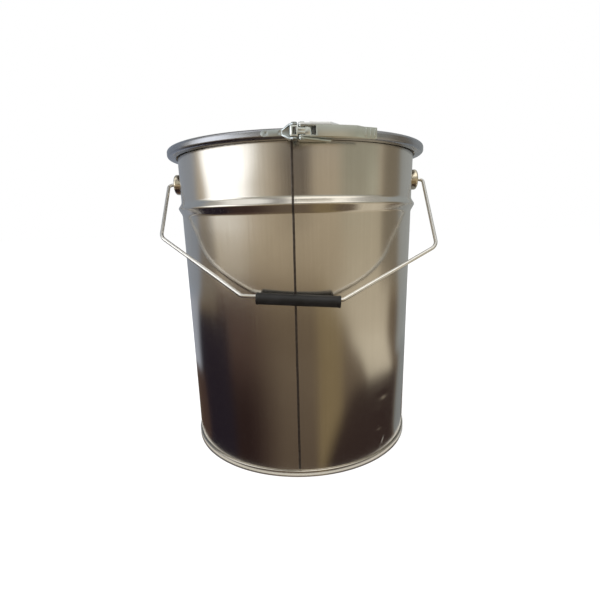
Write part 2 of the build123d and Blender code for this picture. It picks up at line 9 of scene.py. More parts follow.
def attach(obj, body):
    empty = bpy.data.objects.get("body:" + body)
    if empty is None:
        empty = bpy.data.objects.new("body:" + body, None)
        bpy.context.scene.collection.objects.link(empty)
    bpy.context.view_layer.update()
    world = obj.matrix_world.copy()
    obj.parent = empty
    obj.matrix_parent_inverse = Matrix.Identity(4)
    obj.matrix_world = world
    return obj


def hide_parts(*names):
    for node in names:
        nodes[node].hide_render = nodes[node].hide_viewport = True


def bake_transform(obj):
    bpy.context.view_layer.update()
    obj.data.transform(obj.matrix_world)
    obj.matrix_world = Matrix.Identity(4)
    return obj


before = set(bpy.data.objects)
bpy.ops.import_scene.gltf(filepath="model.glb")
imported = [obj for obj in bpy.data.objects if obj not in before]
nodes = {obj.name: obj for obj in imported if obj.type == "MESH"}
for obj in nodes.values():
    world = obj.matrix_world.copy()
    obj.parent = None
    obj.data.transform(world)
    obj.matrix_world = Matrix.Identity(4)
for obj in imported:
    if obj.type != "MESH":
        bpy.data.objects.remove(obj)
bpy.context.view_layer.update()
scene = bpy.context.scene
MM = 0.001

# Sizes in mm and degrees, to fit the solids
SHEET = 0.5
WALL_FOOT = 144.5
WALL_TOP = 149.75
FOOT_Z = 10.0
FOOT_BEND = 30
CURL_Z = 371.1
CURL_DROP = 0.03
CURL_RADIUS = 2.25
CURL_ANGLES = (179.2, -105)
BEAD_FOOT_Z = 298.9
BEAD_CREST_Z = (306.3, 307.9)
BEAD_MIDDLE_Z = 307.1
BEAD_TOP_Z = 313.7
BEAD_RISE = 4.0
BEAD_BENDS = [8, 2.6, 2.6, 8]
LAP_AZIMUTH = -1.3
LAP_TOP_Z = 367.0
# Double seam at the foot: its layers lie one pitch apart
SEAM_PITCH = 0.62
SEAM_FOOT_Z = 0.25
SEAM_TOP_Z = 7.13
BODY_HOOK_FOOT_Z = 1.49
BODY_HOOK_TOP_Z = 5.99
END_HOOK_Z = 2.63
END_PANEL_Z = 7.25
END_GROOVE_Z = 5.75
END_GROOVE = (100, 104, 112, 116)
END_BENDS = [3, 3, 3, 3, 2.5, 0.9, 0.9]
LID_PANEL_Z = 362.6
LID_RIB_Z = 364.2
LID_RIBS = (62.0, 112.0)
LID_RIB_FOOT = 7.0
LID_RIB_TOP = 3.5
LID_RIB_BEND = 3
LID_GROOVE_Z = 359.6
LID_GROOVE = (139.85, 142.85)
LID_WALL = 148.85
LID_TOP_Z = 375.35
LID_SKIRT = 157.25
LID_SKIRT_Z = 369.85
LID_EDGE_BENDS = [1.5, 1.5, 1.5, 1.5, 2.0]
RING_FACE = 162
RING_LOW_LIP = 152.2
RING_TOP_LIP = 153
RING_LOW_Z = 367.25
RING_TOP_Z = 376.95
RING_BEND = 3.5
RING_SHEET = 1.0
RING_ENDS = (0.9, 359.3)
EAR_Z = 339.2
EAR_DEPTH = 10.9
BAIL_LEAN = math.radians(50.2993)
BAIL_LEG_OUT = 8.7
BAIL_END_INSET = 3.0
BAIL_LEFT_CORNER = (-160.636, 101.2)
BAIL_LEFT_BEND = (-59.3, 194.2)
BAIL_RIGHT_BEND = (45.2, 203.0)
BAIL_RIGHT_CORNER = (159.436, 126.5)
BAIL_BENDS = [5, 18, 6, 6, 18, 5]
WIRE_RADIUS = 2.1
HEAD_HEIGHT = 1.5
GRIP_HALF = 43.8
GRIP_MIDDLE_X = -0.4
GRIP_DROP = 2.6
GRIP_BORE = 5.0
# Closure: its middle height, and where the folds of the lever and the bracket's lip are found
CLOSURE_Z = 371.55
LEVER_HALF_HEIGHT = 5.1
LEVER_OUTSIDE = 170.4
LEVER_FOLD_START = 4.0
LIP_TOP_Z = 379.35

# Fineness of the meshes: steps in mm along a run, in degrees round a bend, and counts round a piece
WALL_STEP = 12.0
DENT_STEP = 1.6
PRESSING_STEP = 8.0
LAP_STEP = 2.5
WIRE_STEP = 4.0
WALL_BEND_STEP = 4.0
RING_BEND_STEP = 6.0
WIRE_BEND_STEP = 7.0
HOOK_ARC_STEP = 20
CURL_ARC_STEP = 12
SEAM_ARC_STEP = 15
WIRE_SIDES = 28
HEAD_SIDES = 32
GRIP_SIDES = 96
RING_STEPS = 480
FULL_TURN = np.linspace(-180, 180, 321)
# Limits: mm for the same place, metres for points to weld, radians for angles between faces
SAME_PLACE = 0.02
WELD_DISTANCE = 2e-6
FLAT_ANGLE = math.radians(0.6)
FOLD_ANGLE = 0.7
EDGE_ANGLE = math.radians(40)
# Radii in metres that turn an azimuth into a length for the grain
WALL_UV_RADIUS = 0.15
GRIP_UV_RADIUS = 0.0064


# Helpers for paths, sections and meshes

def rounded(points, radii, arc_step=9.0):
    """Polyline with rounded corners, as sampled points (2-D or 3-D)."""
    pts = [Vector(p) for p in points]
    out = [pts[0]]
    for i, radius in enumerate(radii, 1):
        p = pts[i]
        a = (pts[i - 1] - p).normalized()
        b = (pts[i + 1] - p).normalized()
        inner = math.acos(max(-1.0, min(1.0, a.dot(b))))
        turn = math.pi - inner
        if radius <= 0 or turn < 1e-3:
            out.append(p)
            continue
        reach = radius * math.tan(turn / 2)
        centre = p + (a + b).normalized() * (radius / math.sin(inner / 2))
        u = p + a * reach - centre
        v = p + b * reach - centre
        steps = max(3, int(math.degrees(turn) / arc_step) + 1)
        for k in range(steps + 1):
            t = k / steps
            out.append(centre + (u * math.sin((1 - t) * turn) + v * math.sin(t * turn)) / math.sin(turn))
    out.append(pts[-1])
    return out


def arc(centre, radius, start, end, step):
    """Points on an arc; angles in degrees from the first axis."""
    count = max(3, int(abs(end - start) / step) + 1)
    return [
        Vector((centre[0] + radius * math.cos(a), centre[1] + radius * math.sin(a)))
        for a in np.radians(np.linspace(start, end, count + 1))
    ]


def joined(*runs):
    """Runs of points as one run, without double points."""
    out = []
    for run in runs:
        for p in run:
            p = Vector(p)
            if not out or (p - out[-1]).length > 1e-6:
                out.append(p)
    return out


def resampled(points, longest):
    """The same run with no step longer than the given length."""
    out = [points[0]]
    for a, b in zip(points, points[1:]):
        count = max(1, math.ceil((b - a).length / longest))
        out += [a.lerp(b, k / count) for k in range(1, count + 1)]
    return out


def heading(points, i):
    """Way from the point before to the point after."""
    return points[min(i + 1, len(points) - 1)] - points[max(i - 1, 0)]


def beside(points, distance):
    """A flat run moved to its own left."""
    out = []
    for i, p in enumerate(points):
        d = heading(points, i)
        out.append(p + Vector((-d.y, d.x)).normalized() * distance)
    return out


def sheet_loop(mid, thickness):
    """Closed section of a sheet from the middle line of that sheet."""
    return beside(mid, thickness / 2) + beside(mid, -thickness / 2)[::-1]


def grid_faces(rows, columns, rows_close, columns_close):
    """Quads between neighbouring points of a grid that may close on itself either way."""
    faces = []
    for i in range(rows if rows_close else rows - 1):
        j = (i + 1) % rows
        for k in range(columns if columns_close else columns - 1):
            after = (k + 1) % columns
            faces.append((i * columns + k, i * columns + after, j * columns + after, j * columns + k))
    return faces


def end_caps(rows, columns):
    """Faces that close the first and the last row of a grid."""
    return [tuple(range(columns))[::-1], tuple(range((rows - 1) * columns, rows * columns))]


def new_object(name, verts, faces, uvs=None):
    """Mesh object in the scene; uvs are given per vertex."""
    mesh = bpy.data.meshes.new(name)
    mesh.from_pydata([tuple(v) for v in verts], [], faces)
    if uvs is not None:
        layer = mesh.uv_layers.new(name="run")
        loops = np.zeros(len(mesh.loops), np.int32)
        mesh.loops.foreach_get("vertex_index", loops)
        layer.data.foreach_set("uv", np.asarray(uvs, np.float32)[loops].ravel())
    mesh.update()
    obj = bpy.data.objects.new(name, mesh)
    scene.collection.objects.link(obj)
    return obj


def finish_mesh(obj, sharp=38.0):
    """Consistent outward normals, smooth shading, sharp edges kept."""
    bm = bmesh.new()
    bm.from_mesh(obj.data)
    bmesh.ops.recalc_face_normals(bm, faces=bm.faces)
    bm.to_mesh(obj.data)
    bm.free()
    obj.data.polygons.foreach_set("use_smooth", [True] * len(obj.data.polygons))
    obj.data.set_sharp_from_angle(angle=math.radians(sharp))
    return obj


def lathe(name, loop, places=FULL_TURN, shape=None, straight=False):
    """Closed section (radius, height in mm) turned about the pail's axis.
    places are azimuths in degrees from the front (-Y) towards +X.
    shape(azimuth, z) adds to the radius, in mm. The grain runs up the piece, or straight across it."""
    whole = math.isclose(places[-1] - places[0], 360.0)
    azimuths = np.radians(places)
    if whole:
        azimuths = azimuths[:-1]
    section = np.array([tuple(p) for p in loop], float)
    heights = section[:, 1]
    verts, uvs = [], []
    for a in azimuths:
        r = section[:, 0] + (shape(math.degrees(a), heights) if shape else 0.0)
        row = np.stack([r * math.sin(a), -r * math.cos(a), heights], 1) * MM
        verts.append(row)
        upright = np.stack([np.full(len(section), a * WALL_UV_RADIUS), heights * MM], 1)
        uvs.append(row[:, :2] if straight else upright)
    faces = grid_faces(len(azimuths), len(section), whole, True)
    if not whole:
        faces += end_caps(len(azimuths), len(section))
    return finish_mesh(new_object(name, np.concatenate(verts), faces, np.concatenate(uvs)))


def disc_lathe(name, mid, thickness):
    """Pressed sheet that closes on the axis: the middle line starts at radius 0."""
    smallest = 0.02
    loop = sheet_loop(mid, thickness)
    for p in loop:
        p.x = max(p.x, smallest)
    return lathe(name, loop, straight=True)


def tube(name, path, radius, sides):
    """Round bar along a 3-D path (mm), with closed ends."""
    verts, uvs = [], []
    side = heading(path, 0).normalized().orthogonal().normalized()
    run = 0.0
    for i, p in enumerate(path):
        d = heading(path, i).normalized()
        side = (side - d * side.dot(d)).normalized()
        up = d.cross(side)
        if i:
            run += (p - path[i - 1]).length
        for k in range(sides):
            a = 2 * math.pi * k / sides
            verts.append((p + (side * math.cos(a) + up * math.sin(a)) * radius) * MM)
            uvs.append((run * MM, k / sides))
    faces = grid_faces(len(path), sides, False, True) + end_caps(len(path), sides)
    return finish_mesh(new_object(name, verts, faces, uvs), sharp=50)


def turned(name, loop, origin, axis, count, shape=None):
    """Closed section (distance along the axis, radius in mm) turned about any axis."""
    axis = Vector(axis).normalized()
    side = axis.orthogonal().normalized()
    up = axis.cross(side)
    origin = Vector(origin)
    verts, uvs = [], []
    for i in range(count):
        a = 2 * math.pi * i / count
        outward = side * math.cos(a) + up * math.sin(a)
        for s, r in loop:
            extra = shape(a, s) if shape else 0.0
            verts.append((origin + axis * s + outward * (r + extra)) * MM)
            uvs.append((s * MM, a * GRIP_UV_RADIUS))
    return finish_mesh(new_object(name, verts, grid_faces(count, len(loop), True, True), uvs))


def softened(name, node, width, folds=None, fold_width=0.0):
    """Copy of a CAD node's mesh with its edges broken, as on a pressed or plated piece.
    folds(a, b) says which edges, by their end points in mm, are bends of the sheet, rounded to fold_width."""
    mesh = nodes[node].data.copy()
    obj = bpy.data.objects.new(name, mesh)
    scene.collection.objects.link(obj)
    bm = bmesh.new()
    bm.from_mesh(mesh)
    bmesh.ops.remove_doubles(bm, verts=bm.verts, dist=WELD_DISTANCE)
    bmesh.ops.dissolve_limit(bm, angle_limit=FLAT_ANGLE, verts=bm.verts, edges=bm.edges)
    if folds:
        sharp = [e for e in bm.edges if e.calc_face_angle(0) > FOLD_ANGLE]
        bends = [e for e in sharp if folds(*(v.co / MM for v in e.verts))]
        bmesh.ops.bevel(
            bm,
            geom=bends,
            offset=fold_width * MM,
            segments=4,
            profile=0.5,
            affect="EDGES",
            clamp_overlap=True,
        )
    bm.to_mesh(mesh)
    bm.free()
    bevel = obj.modifiers.new("edges", "BEVEL")
    bevel.width = width * MM
    bevel.segments = 2
    bevel.limit_method = "ANGLE"
    bevel.angle_limit = EDGE_ANGLE
    bevel.use_clamp_overlap = True
    bpy.context.view_layer.update()
    baked = bpy.data.meshes.new_from_object(obj.evaluated_get(bpy.context.evaluated_depsgraph_get()))
    obj.modifiers.clear()
    obj.data = baked
    obj.data.materials.clear()
    return finish_mesh(obj, sharp=30)


def lever_folds(a, b):
    """The lever's long outer edges, where its web turns into the flanges."""
    for p in (a, b):
        level = abs(abs(p.z - CLOSURE_Z) - LEVER_HALF_HEIGHT) < SAME_PLACE
        outside = math.hypot(p.x, p.y) > LEVER_OUTSIDE
        along = math.degrees(math.atan2(p.x, -p.y)) > LEVER_FOLD_START
        if not (level and outside and along):
            return False
    return True


def lip_folds(a, b):
    """The upper edges of the lip on the lever bracket."""
    return all(abs(p.z - LIP_TOP_Z) < SAME_PLACE for p in (a, b))


# Helpers for shader nodes

def new_material(name):
    mat = bpy.data.materials.new(name)
    mat.use_nodes = True
    return mat, mat.node_tree, mat.node_tree.nodes["Principled BSDF"]


def add(tree, kind, **settings):
    """New node; settings that start with in_ are the values of its inputs."""
    node = tree.nodes.new(kind)
    for key, value in settings.items():
        if key.startswith("in_"):
            node.inputs[key[3:].replace("_", " ")].default_value = value
        else:
            setattr(node, key, value)
    return node


def feed(tree, socket, value):
    """Links another node's socket, or sets a colour or number."""
    if isinstance(value, bpy.types.NodeSocket):
        tree.links.new(value, socket)
    elif isinstance(value, tuple):
        socket.default_value = (*value, 1)
    else:
        socket.default_value = value


def calc(tree, operation, *values):
    """One maths node; values are sockets or numbers."""
    node = add(tree, "ShaderNodeMath", operation=operation)
    for socket, value in zip(node.inputs, values):
        feed(tree, socket, value)
    return node.outputs[0]


def coords(tree, source, scale=(1, 1, 1)):
    texture = add(tree, "ShaderNodeTexCoord")
    mapping = add(tree, "ShaderNodeMapping")
    mapping.inputs["Scale"].default_value = scale
    tree.links.new(texture.outputs[source], mapping.inputs["Vector"])
    return mapping.outputs["Vector"]


def noise(tree, vector, scale, detail, rough):
    node = add(tree, "ShaderNodeTexNoise", in_Scale=scale, in_Detail=detail, in_Roughness=rough)
    tree.links.new(vector, node.inputs["Vector"])
    return node.outputs["Fac"]


def ramp(tree, fac, *stops):
    """Colour ramp; each stop is a place and a colour or grey."""
    node = add(tree, "ShaderNodeValToRGB")
    elements = node.color_ramp.elements
    while len(elements) < len(stops):
        elements.new(0.5)
    for element, (place, tint) in zip(elements, stops):
        element.position = place
        element.color = (*tint, 1) if isinstance(tint, tuple) else (tint, tint, tint, 1)
    tree.links.new(fac, node.inputs["Fac"])
    return node.outputs["Color"]


def mixed(tree, fac, a, b):
    """Colour a where the factor is 0 and colour b where it is 1."""
    node = add(tree, "ShaderNodeMix", data_type="RGBA")
    wanted = {("Factor", "VALUE"): fac, ("A", "RGBA"): a, ("B", "RGBA"): b}
    for socket in node.inputs:
        if (socket.name, socket.type) in wanted:
            feed(tree, socket, wanted[socket.name, socket.type])
    return [s for s in node.outputs if s.type == "RGBA"][0]


def bump(tree, bsdf, height, strength):
    depth = 0.0002
    node = add(tree, "ShaderNodeBump", in_Strength=strength, in_Distance=depth)
    tree.links.new(height, node.inputs["Height"])
    tree.links.new(node.outputs["Normal"], bsdf.inputs["Normal"])


def seen_directly(tree):
    """1 for rays from the camera, straight or by gloss or glass, and 0 for soft bounced light."""
    path = add(tree, "ShaderNodeLightPath")
    total = path.outputs["Is Camera Ray"]
    for name in ("Is Glossy Ray", "Is Transmission Ray"):
        total = calc(tree, "MAXIMUM", total, path.outputs[name])
    return total


def chosen_by_ray(tree, soft, direct, output):
    """Sends one shader to soft bounced light and another to rays that see the surface directly."""
    choose = add(tree, "ShaderNodeMixShader")
    tree.links.new(seen_directly(tree), choose.inputs["Fac"])
    tree.links.new(soft, choose.inputs[1])
    tree.links.new(direct, choose.inputs[2])
    tree.links.new(choose.outputs["Shader"], tree.nodes[output].inputs["Surface"])


# Materials

def metal(name, light, dark, rough, source, grain, spots, grain_bump, metallic=1.0):
    """Plated sheet metal: fine grain along one direction, cloudy colour, broader brushed streaks."""
    mat, tree, bsdf = new_material(name)
    fine = noise(tree, coords(tree, source, grain), 1.0, detail=4.0, rough=0.6)
    cloud = noise(tree, coords(tree, source), spots, detail=4.0, rough=0.6)
    colour = mixed(tree, ramp(tree, cloud, (0.3, 0.0), (0.72, 1.0)), dark, light)
    broad_grain = (grain[0] / 4, grain[1] / 4, grain[2])
    brushed = noise(tree, coords(tree, source, broad_grain), 1.0, detail=3.0, rough=0.6)
    colour = mixed(tree, ramp(tree, brushed, (0.3, 0.7), (0.7, 0.0)), colour, dark)
    tree.links.new(colour, bsdf.inputs["Base Color"])
    tree.links.new(ramp(tree, fine, (0.2, rough[0]), (0.8, rough[1])), bsdf.inputs["Roughness"])
    bsdf.inputs["Metallic"].default_value = metallic
    bump(tree, bsdf, fine, grain_bump)
    return mat


def plated(name, light, dark, rough=(0.22, 0.28), metallic=1.0):
    """Metal of the small pressings, with a fine grain in the space of the piece."""
    return metal(name, light, dark, rough, "Object", (300, 300, 900), 60.0, 0.006, metallic)


def seam_material():
    """Dark, uneven metal of the weld."""
    mat, tree, bsdf = new_material("welded_seam")
    along = noise(tree, coords(tree, "UV", (400, 260, 1)), 1.0, detail=4.0, rough=0.6)
    tints = ((0.3, (0.07, 0.06, 0.053)), (0.62, (0.12, 0.104, 0.092)), (0.8, (0.18, 0.155, 0.135)))
    tree.links.new(ramp(tree, along, *tints), bsdf.inputs["Base Color"])
    tree.links.new(ramp(tree, along, (0.2, 0.5), (0.8, 0.34)), bsdf.inputs["Roughness"])
    bsdf.inputs["Metallic"].default_value = 0.9
    bump(tree, bsdf, along, strength=0.25)
    return mat


def plastic(name, light, dark, rough, scale):
    """Plastic, rubber or compound with a fine unevenness and broad patches."""
    mat, tree, bsdf = new_material(name)
    fine = noise(tree, coords(tree, "Object"), scale, detail=4.0, rough=0.6)
    broad = noise(tree, coords(tree, "Object"), scale / 18, detail=3.0, rough=0.5)
    colour = mixed(tree, ramp(tree, broad, (0.35, 0.0), (0.7, 1.0)), dark, light)
    tree.links.new(colour, bsdf.inputs["Base Color"])
    tree.links.new(ramp(tree, fine, (0.2, rough[0]), (0.8, rough[1])), bsdf.inputs["Roughness"])
    bump(tree, bsdf, fine, strength=0.12)
    return mat


tinplate = metal(
    "tinplate",
    light=(0.745, 0.715, 0.66),
    dark=(0.66, 0.63, 0.575),
    rough=(0.17, 0.23),
    source="UV",
    grain=(1500, 8, 1),
    spots=14.0,
    grain_bump=0.035,
)
zinc = plated("zinc_plate", (0.74, 0.78, 0.75), (0.67, 0.70, 0.67))
dull_zinc = plated("dull_zinc_plate", (0.64, 0.70, 0.72), (0.54, 0.60, 0.62), (0.28, 0.36))
cool_zinc = plated("cool_zinc_plate", (0.70, 0.765, 0.765), (0.60, 0.66, 0.66))
bright_zinc = plated("bright_zinc_plate", (0.92, 0.97, 0.96), (0.83, 0.88, 0.87))
# Half-diffuse pale zinc: painted light for the upper half of the lever bracket
painted_lit_zinc = plated("painted_lit_zinc_plate", (0.82, 0.83, 0.82), (0.75, 0.76, 0.75), (0.26, 0.34), 0.5)
# Hook pin: steel made dark as painted shade in the opening of the link's claw, where the pin shows
painted_shade_steel = plated("painted_shade_steel", (0.30, 0.31, 0.30), (0.20, 0.21, 0.20), (0.30, 0.40))
brassy = plated("yellow_zinc_plate", (0.82, 0.76, 0.63), (0.72, 0.65, 0.52), (0.18, 0.26))
wire_metal = metal(
    "zinc_wire",
    light=(0.93, 0.92, 0.89),
    dark=(0.80, 0.79, 0.76),
    rough=(0.26, 0.38),
    source="UV",
    grain=(60, 26, 1),
    spots=300.0,
    grain_bump=0.02,
)
band_metal = metal(
    "galvanised_band",
    light=(0.48, 0.49, 0.52),
    dark=(0.36, 0.37, 0.40),
    rough=(0.22, 0.30),
    source="UV",
    grain=(20, 1500, 1),
    spots=60.0,
    grain_bump=0.012,
)
seam_dark = seam_material()
black_plastic = plastic("black_plastic", (0.010, 0.0095, 0.0105), (0.005, 0.005, 0.0055), (0.38, 0.50), 1400)
rubber = plastic("gasket_rubber", (0.05, 0.05, 0.05), (0.03, 0.03, 0.03), (0.6, 0.75), 900)
compound = plastic("sealing_compound", (0.46, 0.41, 0.33), (0.36, 0.32, 0.26), (0.6, 0.8), 700)


def paint(obj, mat):
    obj.data.materials.clear()
    obj.data.materials.append(mat)


def dress(obj, mat, body, slot, *stands_for):
    """Gives a piece its material and body, and hides the CAD nodes that it stands for. The slot is not used.
    """
    paint(obj, mat)
    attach(obj, body)
    if stands_for:
        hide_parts(*stands_for)


# Form of the wall

def wall(z):
    """Radius of the wall's middle line at a height."""
    return WALL_FOOT + (WALL_TOP - WALL_FOOT) / (CURL_Z - FOOT_Z) * (z - FOOT_Z)


bead_crest = wall(BEAD_MIDDLE_Z) + BEAD_RISE
wall_corners = [
    (wall(FOOT_Z), FOOT_Z),
    (wall(BEAD_FOOT_Z), BEAD_FOOT_Z),
    (bead_crest, BEAD_CREST_Z[0]),
    (bead_crest, BEAD_CREST_Z[1]),
    (wall(BEAD_TOP_Z), BEAD_TOP_Z),
]
# Slow waves: depth, number round the pail, height over which they turn, shift
WAVES = ((0.07, 3, 60, 0.0), (0.05, 7, -45, 1.0), (0.03, 13, 31, 0.0))
# The waves grow from the first height over a length, and die away below the second
WAVES_FROM, WAVES_GROW = 14, 30
WAVES_TO, WAVES_FADE = 298, 20
# Dents low on the right: azimuth, height, width, tallness, depth, slant
DENTS = (
    (40.5, 41, 9.0, 3.1, -1.05, 0.0),
    (42.5, 25, 3.4, 6.5, 0.9, 0.4),
    (43.0, 81, 9.0, 4.4, -0.66, 0.0),
    (40.0, 62, 9.0, 6.0, 0.4, 0.0),
    (46.5, 53, 7.0, 4.5, -0.4, 0.0),
)
DENTS_TOP_Z = 96
DENTS_LEFT, DENTS_RIGHT = 33, 51
WALL_PER_DEGREE = 2.55


def ripple(azimuth, z):
    """How far the thin wall stands off a true cone, in mm: slow waves and a few dents."""
    a = math.radians(azimuth)
    wave = sum(depth * np.sin(number * a + z / tall + shift) for depth, number, tall, shift in WAVES)
    grow = np.clip((z - WAVES_FROM) / WAVES_GROW, 0, 1)
    out = wave * grow * np.clip((WAVES_TO - z) / WAVES_FADE, 0, 1)
    for place, height, wide, tall, depth, slant in DENTS:
        along = ((azimuth - place + 180) % 360 - 180) * WALL_PER_DEGREE - slant * (z - height)
        out = out + depth * np.exp(-((along / wide) ** 2) - ((z - height) / tall) ** 2)
    return out


# Body shell, with its hook in the seam at the foot and its curl at the top
wall_points = [(WALL_FOOT, BODY_HOOK_FOOT_Z)] + wall_corners + [(wall(CURL_Z), CURL_Z)]
wall_run = resampled(rounded(wall_points, [FOOT_BEND] + BEAD_BENDS, WALL_BEND_STEP), WALL_STEP)
body_hook = WALL_FOOT + 2 * SEAM_PITCH
body_mid = joined(
    [(body_hook, BODY_HOOK_TOP_Z), (body_hook, BODY_HOOK_FOOT_Z)],
    arc((WALL_FOOT + SEAM_PITCH, BODY_HOOK_FOOT_Z), SEAM_PITCH, 0, -180, HOOK_ARC_STEP),
    resampled([p for p in wall_run if p.y < DENTS_TOP_Z], DENT_STEP),
    [p for p in wall_run if p.y >= DENTS_TOP_Z],
    arc((WALL_TOP + CURL_RADIUS, CURL_Z - CURL_DROP), CURL_RADIUS, *CURL_ANGLES, CURL_ARC_STEP),
)
# The steps round the body are finest at the dents
round_body = np.concatenate([
    np.linspace(-180, DENTS_LEFT, 171)[:-1],
    np.linspace(DENTS_LEFT, DENTS_RIGHT, 37)[:-1],
    np.linspace(DENTS_RIGHT, 180, 104),
])
body = lathe("pail_body", sheet_loop(body_mid, SHEET), round_body, ripple)
dress(body, tinplate, "pail", "tinplate", "body_shell")

# Lap weld up the front: a raised strip with rounded sides (place across, rise), sunk a little into the wall
LAP_SECTION = ((-1.25, 0.05), (-1.1, 0.36), (-0.7, 0.5), (0.0, 0.54), (0.7, 0.5), (1.1, 0.36), (1.25, 0.05))
LAP_SINK = 0.05
# Its wavering line: amount, height over which it turns, shift
LAP_WAVES = ((0.05, 14.0, 0), (0.03, 4.7, 1))
lap_points = wall_corners + [(wall(LAP_TOP_Z), LAP_TOP_Z)]
lap_path = resampled(rounded(lap_points, BEAD_BENDS, WALL_BEND_STEP), LAP_STEP)
lap_verts, lap_uvs = [], []
for i, p in enumerate(lap_path):
    d = heading(lap_path, i).normalized()
    outward = Vector((d.y, -d.x))
    waver = sum(amount * math.sin(p.y / tall + shift) for amount, tall, shift in LAP_WAVES)
    for x, rise in LAP_SECTION:
        q = p + outward * (SHEET / 2 + rise - LAP_SINK)
        a = math.radians(LAP_AZIMUTH) + (x + waver) / q.x
        r = q.x + float(ripple(math.degrees(a), np.array([q.y]))[0])
        lap_verts.append(Vector((r * math.sin(a), -r * math.cos(a), q.y)) * MM)
        lap_uvs.append((x * MM, q.y * MM))
lap_faces = grid_faces(len(lap_path), len(LAP_SECTION), False, False)
lap = finish_mesh(new_object("side_weld", lap_verts, lap_faces, lap_uvs), sharp=60)
dress(lap, seam_dark, "pail", "tinplate")

# Bottom end, in one pressing rolled round the body's foot
seam_inside = WALL_FOOT - SEAM_PITCH
seam_outside = WALL_FOOT + 3 * SEAM_PITCH
end_hook = WALL_FOOT + SEAM_PITCH
end_points = [
    (0, END_PANEL_Z),
    (END_GROOVE[0], END_PANEL_Z),
    (END_GROOVE[1], END_GROOVE_Z),
    (END_GROOVE[2], END_GROOVE_Z),
    (END_GROOVE[3], END_PANEL_Z),
    (seam_inside, END_PANEL_Z),
    (seam_inside, SEAM_FOOT_Z),
    (seam_outside, SEAM_FOOT_Z),
    (seam_outside, SEAM_TOP_Z),
]
end_mid = joined(
    resampled(rounded(end_points, END_BENDS), PRESSING_STEP),
    arc((body_hook, SEAM_TOP_Z), SEAM_PITCH, 0, 180, SEAM_ARC_STEP),
    [(end_hook, SEAM_TOP_Z), (end_hook, END_HOOK_Z)],
)
bottom = disc_lathe("bottom_end_pressing", end_mid, SHEET)
dress(bottom, tinplate, "pail", "tinplate", "bottom_end")

# Lid, with two ribs in its panel and a channel over the curl
lid_points = [(0, LID_PANEL_Z)]
for r in LID_RIBS:
    lid_points += [
        (r - LID_RIB_FOOT, LID_PANEL_Z),
        (r - LID_RIB_TOP, LID_RIB_Z),
        (r + LID_RIB_TOP, LID_RIB_Z),
        (r + LID_RIB_FOOT, LID_PANEL_Z),
    ]
lid_bends = [LID_RIB_BEND] * (len(lid_points) - 1) + LID_EDGE_BENDS
lid_points += [
    (LID_GROOVE[0], LID_PANEL_Z),
    (LID_GROOVE[1], LID_GROOVE_Z),
    (LID_WALL, LID_GROOVE_Z),
    (LID_WALL, LID_TOP_Z),
    (LID_SKIRT, LID_TOP_Z),
    (LID_SKIRT, LID_SKIRT_Z),
]
lid = disc_lathe("lid_pressing", resampled(rounded(lid_points, lid_bends), PRESSING_STEP), SHEET)
dress(lid, tinplate, "lid", "tinplate", "lid")

# Closing ring: one sprung channel, open at the front
ring_corners = [
    (RING_LOW_LIP, RING_LOW_Z),
    (RING_FACE, RING_LOW_Z),
    (RING_FACE, RING_TOP_Z),
    (RING_TOP_LIP, RING_TOP_Z),
]
ring_outside = rounded(ring_corners, [RING_BEND, RING_BEND], RING_BEND_STEP)
ring_loop = ring_outside + beside(ring_outside, RING_SHEET)[::-1]
ring = lathe("closing_ring", ring_loop, np.linspace(*RING_ENDS, RING_STEPS + 1))
paint(ring, band_metal)
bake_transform(ring)
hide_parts("ring_band_left", "ring_band_right")

# Bail wire, bent in a plane through the ears, with a flattened head at each end
bail_down = Vector((0, -math.sin(BAIL_LEAN), -math.cos(BAIL_LEAN)))


def on_bail(x, reach):
    """Point in the bail's plane, by its distance below the ears."""
    return Vector((x, 0, EAR_Z)) + bail_down * reach


ear_face = wall(EAR_Z) + SHEET / 2 + EAR_DEPTH
leg_x = ear_face + BAIL_LEG_OUT
end_x = ear_face - BAIL_END_INSET
bail_flat = [
    (-end_x, 0),
    (-leg_x, 0),
    BAIL_LEFT_CORNER,
    BAIL_LEFT_BEND,
    BAIL_RIGHT_BEND,
    BAIL_RIGHT_CORNER,
    (leg_x, 0),
    (end_x, 0),
]
bail_path = resampled(rounded([on_bail(*p) for p in bail_flat], BAIL_BENDS, WIRE_BEND_STEP), WIRE_STEP)
wire = tube("bail_wire_bent", bail_path, WIRE_RADIUS, WIRE_SIDES)
dress(wire, wire_metal, "bail", "zinc_wire", "bail_wire")
HEAD_LOOP = (
    (0.0, 0.01),
    (0.0, 2.9),
    (0.25, 3.35),
    (0.6, 3.55),
    (1.1, 3.55),
    (1.4, 3.3),
    (HEAD_HEIGHT, 2.8),
    (HEAD_HEIGHT, 0.01),
)
for side_name, side in (("left", -1), ("right", 1)):
    head_at = (side * (end_x - HEAD_HEIGHT), 0, EAR_Z)
    head = turned("bail_head_" + side_name, HEAD_LOOP, head_at, (side, 0, 0), HEAD_SIDES)
    dress(head, wire_metal, "bail", "zinc_wire")

# Grip: a tube with a collar at each end and a slightly fuller middle
GRIP_WAIST, GRIP_SWELL, GRIP_SWELL_RUN = 6.1, 0.12, 82
GRIP_PLAIN_END, GRIP_FORM_END, GRIP_BORE_INSET = 4.0, 3.2, 0.3
tilt = math.atan2(BAIL_RIGHT_BEND[1] - BAIL_LEFT_BEND[1], BAIL_RIGHT_BEND[0] - BAIL_LEFT_BEND[0])
grip_axis = Vector((1, 0, 0)) * math.cos(tilt) + bail_down * math.sin(tilt)
wire_reach = BAIL_LEFT_BEND[1] + (GRIP_MIDDLE_X - BAIL_LEFT_BEND[0]) * math.tan(tilt)
grip_at = on_bail(GRIP_MIDDLE_X, wire_reach + GRIP_DROP)
GRIP_LINE_RISE, GRIP_LINE_WIDTH = 0.12, 0.05
# Unevenness: rise, length over which it turns, number round the tube
GRIP_WAVES = ((0.05, 6.0, 2), (0.03, 2.3, 1))
